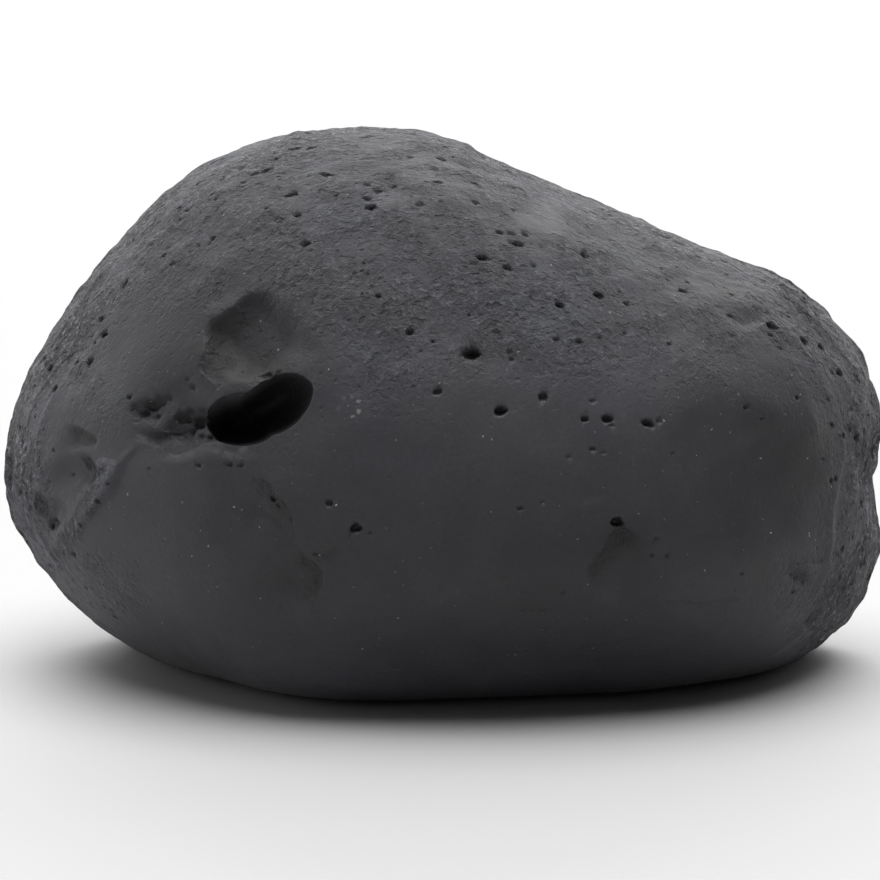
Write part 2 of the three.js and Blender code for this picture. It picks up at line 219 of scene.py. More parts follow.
# The gas pockets that show on the front: seen right, seen up, radius.
POCKETS = (
    (4.5, 9.8, 1.05), (8.7, 1.2, 0.85), (15, 3.3, 0.65), (21.3, 0, 0.6), (24.7, 0, 0.75),
    (30.7, -0.6, 0.7), (8.6, 28, 0.6), (10.4, 27.8, 0.55), (12.5, 27.6, 0.55), (11.4, 26.3, 0.8),
    (6, 24.2, 0.7), (21.3, 24.6, 0.75), (9.8, 22.8, 0.65), (23.3, 18.4, 0.75), (17.6, 17, 0.65),
    (27.5, 17.3, 0.55), (35.9, 19, 0.65), (43, 15.3, 0.6), (49, 13.8, 0.9), (53.8, 11.5, 0.85),
    (56.4, 10.7, 0.7), (59, 6.8, 0.75), (-4.9, 12.8, 0.55), (-0.7, 4, 0.6), (-13, -16.4, 0.75),
    (-25.4, -12, 0.55), (26.1, -15.5, 0.9), (11.6, -13.4, 0.45), (-20.3, 26, 0.65), (-22.3, 33.8, 0.75),
    (-26, 37, 0.8), (-47.3, 20, 0.8), (-50.5, 12.7, 0.8), (-52.8, 8.6, 0.7), (-57.6, 4.5, 0.7),
    (8, 13, 0.42), (17, 11.8, 0.45), (20.4, 11.6, 0.5), (10.1, 10, 0.42), (10.3, 8.9, 0.4),
    (13.3, 18.9, 0.35), (25.3, -1, 0.35), (32.3, -0.4, 0.4), (36.5, 20.3, 0.4), (35, 22.5, 0.4),
    (43.2, 12.4, 0.35), (48.9, 12.5, 0.5), (45.5, 1.9, 0.5), (48, 0.2, 0.4), (22.4, 2.7, 0.4),
    (22.4, -4.5, 0.45), (18.9, -5.7, 0.4), (24.1, -5.1, 0.35), (34.4, -5.1, 0.35), (33.8, 11, 0.45),
    (-16.8, -12.7, 0.55), (15.3, -14.6, 0.3), (14.9, -12.4, 0.3), (11.6, -28.5, 0.35), (13.3, -28.5, 0.3),
    (14.8, -28.5, 0.35), (17.9, -25.9, 0.3), (31.9, -17.9, 0.35), (31.4, -20.4, 0.3), (33.5, -20.4, 0.3),
    (44.6, -23, 0.35), (52.2, -25.6, 0.4), (-10.7, -17.1, 0.35), (14.9, -31, 0.35), (-3.3, 31.7, 0.55),
    (-1.2, 37, 0.5), (-0.6, 35, 0.6), (3.7, 37.7, 0.6), (4.9, 35.2, 0.6), (-10.6, 31.4, 0.75),
    (-21.6, 30.5, 0.6), (-22, 40.2, 0.8), (-19.5, 40.2, 0.7), (-17.1, 36.5, 0.6), (-27.9, 36.5, 0.6),
    (-34.3, 27, 0.55), (-41.4, 24.4, 0.45), (-40.1, 23.1, 0.45), (-50.8, 15, 0.6), (-54.5, 8.6, 0.5),
    (-58.4, 7.7, 0.7), (-59.5, 4.6, 0.55), (-58.1, -16.1, 0.6), (-49.5, -9.7, 0.4), (-55.9, -8.2, 0.35),
    (61.4, 8.2, 0.6), (61.1, -12.5, 0.8), (59.6, -19.4, 0.6), (57.9, -9.2, 0.5), (-46.7, 3.2, 0.5),
    (-36.1, -7, 0.45), (-31.5, -6.9, 0.5), (-29.9, -7, 0.45), (-43.6, -7.4, 0.3), (-26.8, 6.5, 0.6),
    (-53.5, -5.7, 0.35), (-51.7, -7.3, 0.45), (-52.1, -9.4, 0.4), (-53.5, -10.9, 0.35),
    (-59.3, -9.7, 0.3), (-58.8, -10.5, 0.3), (-51, -12.2, 0.45), (-53.6, -15.6, 0.35),
    (-56.8, -19.6, 0.4), (-60.9, -16.6, 0.3), (60.6, -1.6, 0.45), (-24.6, -13, 0.3), (-22.4, -15.2, 0.3),
    (-18.9, -20.2, 0.4),
)

# Crumbled patches beside the socket: wide shallow pockets that run into each other.
CRUMBS = (
    (-45.2, 1.2, 0.9), (-44, 2.4, 1.2), (-42.6, 3, 0.9), (-41.4, 3.5, 0.6), (-43.3, 0.7, 0.7),
    (-45.6, -0.2, 0.5), (-39.9, 0.8, 1.1), (-38.6, 1.6, 0.7), (-37.7, 0.1, 1.3), (-38.9, -1.3, 0.9),
    (-37.2, -2.2, 0.7), (-40.2, -2.2, 0.45), (-36.6, 1.6, 0.6), (-38.2, 6.1, 0.5), (-37.6, 5, 0.6),
    (-42.2, -1.4, 0.35), (-35.8, -2.6, 0.8), (-26.6, 6.6, 0.9), (-24.8, 7.0, 0.6),
)

# Where pale crystals crowd: seen right, seen up, radius, and the part of it that they fill whole.
CRYSTALS = (-13.2, 1.9, 2.2)
CRYSTALS_CORE = 0.4

# Painted light and shade on the front, which fade out behind: broad paler and darker blotches in place of
# how light falls, with a strong pale one along the foot. Each has a place, a reach, and how much paler or
# darker it is.
PAINTED_LIGHT_AND_SHADE = (
    ((13, 3.5), (25, 13), 0.47),
    ((51, -5), (12, 16), -0.5),
    ((21, -22), (25, 9), -0.32),
    ((-24, -24), (10, 8), -0.28),
    ((-34, 13), (11, 12), -0.38),
    ((-27, 7.5), (9, 3.5), -0.45),
    ((-42, 0.5), (8, 4), -0.32),
    ((20, 29), (9, 4), -0.32),
    ((-31, 22), (7, 5), -0.12),
    ((39, 20), (11, 5.5), -0.5),
    ((27, -18.5), (4, 3), -0.3),
    ((-56, -9.5), (5, 7), -0.3),
    ((64, -10), (3.5, 22), 0.4),
    ((-63.5, -4), (3.5, 20), 0.35),
    ((0, -42), (60, 5), 2.0),
)
TONES_FADE = (-0.1, 0.3)

# Two rough pale bands: from, to, half width. A band's core and a patch's edge are parts of their reach.
SEAM = ((-50, -7.3), (-58.3, -22.1), 2.0)
LIMB = ((17, 33.5), (52, 20.5), 2.6)
BAND_CORE = 0.35
PATCH_EDGE = 0.5
BANDS_PALER = 0.35

# The rim lies along the outline, between where it fades out toward the eye and behind.
RIM_FADE_FRONT = (0.5, 0.15)
RIM_FADE_BACK = (-0.4, -0.1)
RIM_ROUGHER = 1.0
# A painted highlight along the outline that the eye sees and on the crests of the thin ridges at the ends,
# full on a ridge of the given height.
RIM_PAINTED_HIGHLIGHT = 0.3
RIDGE_PAINTED_HIGHLIGHT = 0.55
WHOLE_RIDGE = 0.5

# Rough skin lies above a wavy line, behind, past each end's line (side, lean, level, and how far out it
# begins and is whole), in the bands and in some patches, and is worn smoother in others.
ROUGH_LINE = 5.5
ROUGH_LINE_WAVES = ((3.0, 0.055, 0.0, 0.6), (1.6, 0.16, 0.0, 0.0))
ROUGH_ABOVE = (-8.0, 7.0)
ROUGH_BEHIND = 0.9
ROUGH_BEHIND_FADE = (-0.05, 0.25)
ROUGH_ENDS = (
    (1.0, 0.25, -10.0, (55.0, 62.0)),
    (-1.0, -0.15, -8.0, (55.0, 61.0)),
)
ROUGH_BANDS = ((SEAM, 1.4), (LIMB, 1.6))
ROUGH_PATCHES = (
    ((-41, 0.4), (6, 3), 0.6),
    ((-52, -26), (10, 8), 0.7),
    ((56, -27), (9, 10), 0.7),
)
WORN_PATCHES = (
    ((-41, 9), (14, 12), 0.75),
    ((-24, 6), (12, 13), 0.6),
    ((14.5, 29.5), (5, 4), 0.6),
    ((41, 20), (10, 4), 0.4),
)

# Smaller pockets drawn at random: how many, and their radii. They keep off the ground and the socket, and
# crowd on rough skin, in patches of a size, and toward the ends, from one distance out to another.
DRAWN_FRONT = {"count": 470, "radii": (0.26, 0.6)}
DRAWN_BACK = {"count": 690, "radii": (0.34, 1.1)}
SMALL_ONES_POWER = 3
CLEAR_OF_GROUND = 3
CLEAR_OF_SOCKET = 11
CROWDS = 9.0
CROWDS_STRENGTH = 0.7
ROUGH_CROWDING_POWER = 1.5
ENDS_CROWDING = 1.6
ENDS_CROWDING_FROM = (42.0, 56.0)

# A pocket's depth as a part of its radius. A listed one that is less than wide loses up to half of it.
DEEP_POCKET = 1.5
SHALLOW_POCKET = 0.5
CRUMB_DEPTH = 0.75
WIDE_POCKET = 0.75
LEAST_OF_DEPTH = 0.5

# The depth at which a pocket is shaded fully, how much each axis counts in the distance from its middle,
# how many radii round it are looked at, and how uneven its outline is.
FULL_SHADE_DEPTH = 0.7
POCKET_STRETCH = np.array((0.85, 1.2, 1.2))
POCKET_REACH = 1.3
POCKET_UNEVEN = 0.11

# Random unevenness: wavelengths, the spread of their vectors' lengths, heights on worn and on rough skin,
# the roughness past which they grow no more, and where they fade in above the ground.
SWELL_LENGTH = 7.0
RIPPLE_LENGTH = 2.6
CRUMBLE_LENGTH = 1.3
WAVE_SPREAD = (0.75, 1.3)
SWELL_HEIGHTS = (0.03, 0.09)
RIPPLE_HEIGHT = 0.045
ROUGHEST_SINK = 1.2
GROUND_FADE = (0.3, 3.0)

# Fineness: the longest edges in millimetres by kind of skin, the shares of the front and of what is above
# ground between which they change, what a bend in the surface may cut off, and how often edges are cut.
EDGE_ROUGH = 1.4
EDGE_SMOOTH = 1.9
EDGE_BACK = 2.0
EDGE_UNDER = 3.2
EDGE_IN_POCKETS = 0.2
EDGE_PER_RADIUS = 0.22
EDGE_FRONT_FADE = (-0.15, 0.1)
EDGE_UNDER_FADE = (0.05, 1.5)
BACK_COARSER = 1.55
SHORTEST_EDGE = 0.3
BEND_LEFT = 0.04
BENDS_COUNT_FROM = -0.1
START_GRID = (66, 46, 40)
FRONT_CROWDING = 0.22
REFINE_ROUNDS = 6
SPREAD_ROUNDS = 3
SEED = 11

# The search for the direction of a seen place: where the front begins, a distance past all of the stone,
# how many steps, how far one moves at most, and the least determinant that is safe to solve with.
FRONT_BEGINS = -0.02
FAR_AWAY = 1000.0
SEARCH_STEPS = 6
LONGEST_MOVE = 0.05
LEAST_DETERMINANT = 60.0

# The material's noises: how fine, to the metre, with detail and roughness.
BLOTCHES = (60.0, 3.0, 0.55)
CLOUDS = (160.0, 4.0, 0.6)
GRAIN = (1700.0, 4.0, 0.75)
PATCHES = (110.0, 3.0, 0.55)
LUMPS = (1000.0, 5.0, 0.7)
PITS = (750.0, 2.0, 0.45)
TINY_PITS = (1900.0, 2.0, 0.5)
BENDING = {"Scale": 1500.0, "Detail": 1.0}
BENT_BY = 0.0006

# Its dots: cell in metres, share of the cells that have one, largest radius in cells, sharpness.
HOLES = (0.0018, 0.85, 0.22, 14.0)
SPECKS = (0.0012, 0.8, 0.15, 12.0)
CRYSTAL_GRAINS = (0.0011, 1.0, 0.52, 7.0)

# The range in which each noise or share counts, and the range of shades or strengths that it gives.
WHOLE = (0.0, 1.0)
BLOTCH_CONTRAST = (0.38, 0.62)
CLOUD_CONTRAST = (0.3, 0.7)
CLOUD_SHADES = (0.88, 1.12)
GRAIN_CONTRAST = (0.25, 0.75)
GRAIN_SHADES = (0.8, 1.2)
SKIN_SHADES = (0.78, 1.3)
# Painted shade inside broken rims.
BROKEN_PAINTED_SHADES = (1.0, 0.55)
PATCH_STRENGTHS = (0.35, 1.25)
CREST_CONTRAST = (0.53, 0.65)
CREST_STRENGTHS = (0.0, 1.2)
PIT_CONTRAST = (0.42, 0.35)
TINY_PIT_CONTRAST = (0.43, 0.35)
HOLE_STRENGTHS = (0.1, 1.0)
SPECK_CONTRAST = (0.35, 1.0)
SPECK_STRENGTHS = (0.06, 1.0)

# How open broken stone is, how openness makes the skin coarse, and the least coarseness; then how much
# painted shade darkens each kind of hollow, how much the crystals show, and how deep pits and holes go in
# the bump's height.
BROKEN_OPENNESS = 0.7
COARSE_POWER = 1.6
LEAST_COARSE = 0.07
TINY_PITS_SHARE = 0.5
PIT_PAINTED_SHADE = 0.4
POCKET_PAINTED_SHADE = 0.78
HOLE_PAINTED_SHADE = 0.8
CRYSTALS_SHOW = 0.6
SUNK_PITS = 0.35
SUNK_HOLES = 0.5
SHEEN_ROUGHNESS = 0.4


def smoothstep(value, low, high):
    """0 below low, 1 above high, and 3t^2 - 2t^3 between them."""
    t = np.clip((value - low) / (high - low), 0.0, 1.0)
    return t * t * (3.0 - 2.0 * t)


def mix(start, end, share):
    return start + (end - start) * share


def unit(vectors):
    return vectors / np.linalg.norm(vectors, axis=-1, keepdims=True)


def turned(x, z, centre, degrees):
    """Distances from a centre along axes turned by an angle."""
    cos, sin = math.cos(math.radians(degrees)), math.sin(math.radians(degrees))
    dx, dz = x - centre[0], z - centre[1]
    return dx * cos + dz * sin, dz * cos - dx * sin


def sines(terms, x, z, phase=0.0, level=0.0):
    """The level, plus for each term (height, a, b, start) height * sin(a * x + b * z + start + phase)."""
    return sum((height * np.sin(a * x + b * z + start + phase) for height, a, b, start in terms), level)


def outline_table():
    """The outline's radius by angle: a closed Catmull-Rom curve through its points, sampled evenly."""
    count = len(OUTLINE)
    t = np.arange(count * OUTLINE_STEPS) / OUTLINE_STEPS
    index = t.astype(int)
    u = (t - index)[:, None]
    p0, p1, p2, p3 = (OUTLINE[(index + k) % count] for k in (-1, 0, 1, 2))
    start, end = 0.5 * (p2 - p0), 0.5 * (p3 - p1)
    curve = (
        (2 * p1 - 2 * p2 + start + end) * u**3
        + (3 * p2 - 3 * p1 - 2 * start - end) * u**2
        + start * u
        + p1
    )
    angle = np.arctan2(curve[:, 1], curve[:, 0])
    order = np.argsort(angle)
    return angle[order], np.hypot(curve[:, 0], curve[:, 1])[order]


OUTLINE_ANGLES, OUTLINE_RADII = outline_table()
DOWN = np.array((0.0, -math.cos(EYE_LOOKS_DOWN), -math.sin(EYE_LOOKS_DOWN)))


def wear(points, facing, distance, softness):
    """Pulls points that lie past a plane back to it, by softness * log(1 + exp(past / softness))."""
    past = (points @ facing - distance) / softness
    return points - (softness * np.logaddexp(0.0, past))[:, None] * facing


def pebble(directions):
    """The worn pebble without marks. A unit direction's right and up parts choose the place inside the
    outline, mean radius in the middle and the outline's own at the rim, and its out part the bulge."""
    right, up, out = directions.T
    edge = right * right + up * up
    front = out > 0
    rim = np.interp(np.arctan2(up, right), OUTLINE_ANGLES, OUTLINE_RADII, period=2 * math.pi)
    radius = mix(MEAN_RADIUS, rim, edge)

    def side(key, part=None):
        front_value, back_value = (s[key] if part is None else s[key][part] for s in (BELLY, BACK))
        return np.where(front, front_value, back_value)

    seen_right = side("shift", 0) * out * out + radius * right
    seen_up = side("shift", 1) * out * out + radius * up
    depth = side("bulge") * out * (1 + side("fullness") * edge)
    depth = depth - CROWN_LEANS_BACK * (0.5 + 0.5 * up) * edge
    nearness = 1 - depth / EYE_DISTANCE
    points = np.stack((seen_right * nearness, seen_up * nearness, depth), 1)
    for facing, distance, softness in WORN_FACES:
        points = wear(points, unit(np.array(facing)), distance, softness)
    return points


def pebble_normals(directions, points, step=1e-4):
    """Cross product of the pebble's change along two directions at right angles."""
    helper = np.where(np.abs(directions[:, 2:]) < 0.9, (0.0, 0.0, 1.0), (1.0, 0.0, 0.0))
    first = unit(np.cross(helper, directions))
    second = np.cross(directions, first)
    along_first = pebble(unit(directions + step * first)) - points
    along_second = pebble(unit(directions + step * second)) - points
    return unit(np.cross(along_first, along_second))


def seen(points):
    """Where the eye sees each point on the outline's plane, right and up."""
    nearness = 1 - points[:, 2] / EYE_DISTANCE
    return points[:, 0] / nearness, points[:, 1] / nearness


def wandered(x, z, share, phases):
    """A place moved right and up by a share of some sines, so that marks have uneven outlines."""
    return x + share * sines(WANDER, x, z, phases[0]), z + share * sines(WANDER, z, x, phases[1])


def within(mark, x, z):
    """The distance from a mark's centre in units of its reach, and how squarely a place lies on its broken
    side: the cosine of the angle between them."""
    left, right, down, up = mark.reach
    along, across = turned(x, z, mark.at, mark.turn)
    along, across = along / np.where(along < 0, left, right), across / np.where(across < 0, down, up)
    q = np.clip(np.hypot(along, across), TINY, 1)
    return q, np.clip(np.cos(np.arctan2(across, along) - math.radians(mark.broken)), 0, 1)


def marks_depth(marks, x, z):
    """Sum of depth * (1 - q^n)^p, with q the distance from a mark's centre in units of its reach. n and p
    are 2 for a plain hollow. Toward a broken side n grows and p falls to 1, which leaves a sharp rim."""
    total = np.zeros_like(x)
    x, z = wandered(x, z, **MARKS_WANDER)
    for mark in marks.values():
        q, side = within(mark, x, z)
        n = p = PLAIN
        if mark.crisp > PLAIN:
            n = mix(SOFT_SIDE, mark.crisp, side)
            p = mix(PLAIN, 1.0, smoothstep(side, *SHARP_RIM))
        total += mark.depth * (1 - q**n) ** p
    return total


def broken_and_shaded_share(points, directions):
    """1 on the raw stone just inside the broken sides of deep marks, fading toward their middles. It makes
    the skin coarser and carries painted shade.
    """
    most = np.zeros(len(points))
    x, z = wandered(*seen(points), **MARKS_WANDER)
    shallow, deep = RAW_DEPTHS
    for marks, facing in ((FRONT_MARKS, directions[:, 2] > 0), (BACK_MARKS, directions[:, 2] < 0)):
        for mark in marks.values():
            if mark.crisp > PLAIN and mark.depth > shallow:
                q, side = within(mark, x, z)
                inside = smoothstep(q, *RAW_BEGINS) * smoothstep(q, *RAW_ENDS) * smoothstep(side, *RAW_SIDE)
                most = np.maximum(most, inside * facing * min(1.0, mark.depth / deep))
    return most


def end_share(side, right, up, lean, level, reach):
    """1 past the right end (side 1) or the left (side -1): side * right + lean * |up - level| over the
    reach, smoothed."""
    return smoothstep(side * right + lean * np.abs(up - level), *reach)


def layers_depth(points, directions):
    """Thin ridges across the ends, minus height * (1 - |sin(pi * out / spacing + bend)|)^2. Slower sines
    bend each ridge along its height and let it come and go."""
    right, up, out = points.T
    bend = sines(LAYERS_BEND, up, out)
    strength = sines(LAYERS_CHANGE, up, out, level=LAYERS_STRENGTH)
    total = np.zeros_like(out)
    for side, reach, spacing, height in LAYERS:
        there = end_share(side, right, up, LAYERS_LEAN, LAYERS_LEVEL, reach)
        ridge = (1 - np.abs(np.sin(math.pi * out / spacing + bend))) ** 2
        total -= height * there * strength * ridge
    return total * smoothstep(directions[:, 2], *LAYERS_FADE)


def skin_depth(points, directions):
    """How far the skin sinks in: the sum of the front's and the back's marks, the ridges and slow waves."""
    x, z = seen(points)
    out = directions[:, 2]
    waves = sum(height * np.sin(points @ np.array(along) + phase) for along, phase, height in WAVES)
    return (
        smoothstep(out, *FRONT_MARKS_FADE) * marks_depth(FRONT_MARKS, x, z)
        + (1 - smoothstep(out, *BACK_MARKS_FADE)) * marks_depth(BACK_MARKS, x, z)
        + layers_depth(points, directions)
        + mix(1.0, FRONT_WAVE_SHARE, smoothstep(out, *WAVES_FADE)) * waves
    )


def socket_depth(x, z):
    """Largest of depth * (1 - q^2)^power over the socket's parts, with q the elliptic distance. The power
    grows from its first value to its second toward the soft side."""
    deepest = np.zeros_like(x)
    x, z = wandered(x, z, **SOCKET_WANDER)
    for part in SOCKET:
        left, right, down, up = part["reach"]
        along, across = turned(x, z, part["at"], part["turn"])
        toward = np.arctan2(across, along) + math.radians(part["turn"] - SOCKET_SOFT_SIDE)
        along, across = along / np.where(along < 0, left, right), across / np.where(across < 0, down, up)
        share = np.clip(1 - along**2 - across**2, 0, None)
        power = mix(*part["powers"], np.clip(np.cos(toward), 0, 1))
        deepest = np.maximum(deepest, part["depth"] * share**power)
    return deepest


def body(directions):
    """The stone with its marks, foot and socket, but without pockets and fine unevenness, and the worn
    pebble's normals."""
    points = pebble(directions)
    normals = pebble_normals(directions, points)
    points = points - skin_depth(points, directions)[:, None] * normals
    points = wear(points, DOWN, MIDDLE_ABOVE_GROUND, FOOT_SOFTNESS)
    x, z = seen(points)
    sunk = np.where(directions[:, 2] > 0, socket_depth(x, z), 0)
    scale = (1 - (points[:, 2] - sunk) / EYE_DISTANCE) / (1 - points[:, 2] / EYE_DISTANCE)
    return np.stack((points[:, 0] * scale, points[:, 1] * scale, points[:, 2] - sunk), 1), normals


def height_above_ground(points):
    return MIDDLE_ABOVE_GROUND - points @ DOWN - FOOT_SLIVER


def band(x, z, start, end, half_width):
    """1 along the line from start to end, falling to 0 at half a width from it."""
    start, end = np.array(start), np.array(end)
    along = end - start
    t = np.clip(((x - start[0]) * along[0] + (z - start[1]) * along[1]) / (along @ along), 0, 1)
    away = np.hypot(x - start[0] - t * along[0], z - start[1] - t * along[1])
    return smoothstep(away, half_width, BAND_CORE * half_width)


def patch(x, z, centre, reach):
    """1 inside an ellipse, falling to 0 at its edge."""
    inside = 1 - np.hypot((x - centre[0]) / reach[0], (z - centre[1]) / reach[1])
    return smoothstep(inside, 0.0, PATCH_EDGE)


def rim_share(directions):
    """1 along the outline that the eye sees, falling to 0 on both sides of it."""
    out = directions[:, 2]
    return smoothstep(out, *RIM_FADE_FRONT) * smoothstep(out, *RIM_FADE_BACK)


def rough_share(points, directions):
    """0 where water has smoothed the skin, as on the belly and the left cheek, 1 where it is rough and
    open-pored, and up to 2 along the outline. The largest of the shares at a place counts."""
    x, z = seen(points)
    above = smoothstep(z - sines(ROUGH_LINE_WAVES, x, z, level=ROUGH_LINE), *ROUGH_ABOVE)
    ends = [end_share(side, x, z, lean, level, reach) for side, lean, level, reach in ROUGH_ENDS]
    rough = np.maximum.reduce((above, *ends))
    for centre, reach, worn in WORN_PATCHES:
        rough = rough * (1 - worn * patch(x, z, centre, reach))
    rough = rough * (1 + RIM_ROUGHER * rim_share(directions))
    behind = 1 - smoothstep(directions[:, 2], *ROUGH_BEHIND_FADE)
    bands = [share * band(x, z, *line) for line, share in ROUGH_BANDS]
    patches = [share * patch(x, z, centre, reach) for centre, reach, share in ROUGH_PATCHES]
    return np.maximum.reduce((rough, ROUGH_BEHIND * behind, *bands, *patches))


def crystal_share(points, directions):
    """1 in a small patch right of the socket where pale crystals lie close together."""
    x, z = seen(points)
    away = np.hypot((x - CRYSTALS[0]) / CRYSTALS[2], (z - CRYSTALS[1]) / CRYSTALS[2])
    return smoothstep(away, 1.0, CRYSTALS_CORE) * (directions[:, 2] > 0)


def tone_and_painted_light_of(points, directions):
    """How pale the stone is, with painted light and shade: 1, plus a soft blotch, gain * exp(-distance^2),
    for each of the front's broad blotches of painted light and shade. The two bands are paler, and the rim
    and the thin ridges at the ends carry a painted highlight."""
    x, z = seen(points)
    tone = 1 + BANDS_PALER * np.maximum(band(x, z, *SEAM), band(x, z, *LIMB))
    for (right, up), (wide, high), gain in PAINTED_LIGHT_AND_SHADE:
        tone += gain * np.exp(-(((x - right) / wide) ** 2) - ((z - up) / high) ** 2)
    ridges = np.clip(-layers_depth(pebble(directions), directions) / WHOLE_RIDGE, 0, 1)
    tone = mix(1.0, tone, smoothstep(directions[:, 2], *TONES_FADE))
    return tone * (1 + RIM_PAINTED_HIGHLIGHT * rim_share(directions)) * (1 + RIDGE_PAINTED_HIGHLIGHT * ridges)


def sphere_grid(counts):
    """Directions on six square patches of a cube, spaced evenly by angle, pushed toward the eye."""
    ticks = [np.tan(np.linspace(-math.pi / 4, math.pi / 4, count + 1)) for count in counts]
    corners, quads, offset = [], [], 0
    for axis in range(3):
        first, second = (axis + 1) % 3, (axis + 2) % 3
        a, b = np.meshgrid(ticks[first], ticks[second], indexing="ij")
        index = np.arange(a.size).reshape(a.shape)
        ring = np.stack((index[:-1, :-1], index[1:, :-1], index[1:, 1:], index[:-1, 1:]), -1).reshape(-1, 4)
        for sign in (1.0, -1.0):
            face = np.empty(a.shape + (3,))
            face[..., axis], face[..., first], face[..., second] = sign, a, b
            corners.append(face.reshape(-1, 3))
            quads.append((ring if sign > 0 else ring[:, ::-1]) + offset)
            offset += a.size
    directions = unit(np.concatenate(corners))
    rounded = np.round(directions, decimals=6)
    _, keep, back = np.unique(rounded, axis=0, return_index=True, return_inverse=True)
    directions = directions[keep]
    angle = np.arccos(np.clip(directions[:, 2], -1, 1))
    near = angle - FRONT_CROWDING * np.sin(angle)
    scale = np.sin(near) / np.maximum(np.hypot(directions[:, 0], directions[:, 1]), TINY)
    directions = np.stack((directions[:, 0] * scale, directions[:, 1] * scale, np.cos(near)), 1)
    quads = back.reshape(-1)[np.concatenate(quads)]
    triangles = np.concatenate((quads[:, (0, 1, 2)], quads[:, (0, 2, 3)]))
    return directions, triangles


def edges_of(triangles):
    """Unique edges, and for each triangle the numbers of its edges 01, 12 and 20."""
    pairs = np.sort(triangles[:, ((0, 1), (1, 2), (2, 0))].reshape(-1, 2), 1)
    edges, number = np.unique(pairs, axis=0, return_inverse=True)
    return edges, number.reshape(-1, 3)


def split(directions, triangles, edges, sides, marked):
    """Cuts every triangle at its marked edges' middles, into two, three or four, without gaps."""
    middle = np.full(len(edges), -1)
    middle[marked] = len(directions) + np.arange(marked.sum())
    cut = edges[marked]
    directions = np.concatenate((directions, unit(directions[cut[:, 0]] + directions[cut[:, 1]])))
    m = middle[sides]
    has = m >= 0
    count = has.sum(1)
    parts = [triangles[count == 0]]
    for turn in range(3):
        order = np.roll(np.arange(3), -turn)
        t, n, h = triangles[:, order], m[:, order], has[:, order]
        one = (count == 1) & h[:, 0]
        a, b, c = t[one].T
        ab = n[one, 0]
        parts += [np.stack((a, ab, c), 1), np.stack((ab, b, c), 1)]
        two = (count == 2) & h[:, 0] & h[:, 1]
        a, b, c = t[two].T
        ab, bc = n[two, 0], n[two, 1]
        parts += [np.stack((ab, b, bc), 1), np.stack((a, ab, bc), 1), np.stack((a, bc, c), 1)]
    full = count == 3
    a, b, c = triangles[full].T
    ab, bc, ca = m[full].T
    parts += [np.stack(p, 1) for p in ((a, ab, ca), (ab, b, bc), (ca, bc, c), (ab, bc, ca))]
    return directions, np.concatenate(parts)


def random_waves(draws, wavelength, count=48):
    """Vectors and phases of sines whose sum is a smooth random field of about unit spread."""
    vectors = unit(draws.normal(size=(count, 3))) * (2 * math.pi / wavelength)
    return vectors * draws.uniform(*WAVE_SPREAD, (count, 1)), draws.uniform(0, 2 * math.pi, count)


def field(points, waves):
    vectors, phases = waves
    return np.sin(points @ vectors.T + phases).sum(1) * math.sqrt(2 / len(phases))


def directions_seen_at(places, directions, points, step=1e-3):
    """The front directions that the eye sees at given places, by Newton's method from the nearest ones."""
    x, z = seen(points)
    far_behind = np.where(directions[:, 2] > FRONT_BEGINS, 0.0, FAR_AWAY)
    nearest = [np.argmin(np.hypot(x - right, z - up) + far_behind) for right, up in places]
    found = directions[nearest]
    for _ in range(SEARCH_STEPS):
        first = unit(np.cross(found, (0.3, 0.9, 0.1)))
        second = np.cross(found, first)
        here, right_of, above = (
            np.stack(seen(pebble(unit(found + shift))), 1) for shift in (0.0, step * first, step * second))
        across = np.stack(((right_of - here) / step, (above - here) / step), 2)
        safe = np.abs(np.linalg.det(across)) > LEAST_DETERMINANT
        move = np.zeros_like(here)
        move[safe] = np.linalg.solve(across[safe], (places - here)[safe][..., None])[..., 0]
        move = np.clip(move, -LONGEST_MOVE, LONGEST_MOVE)
        found = unit(found + move[:, :1] * first + move[:, 1:] * second)
    return found


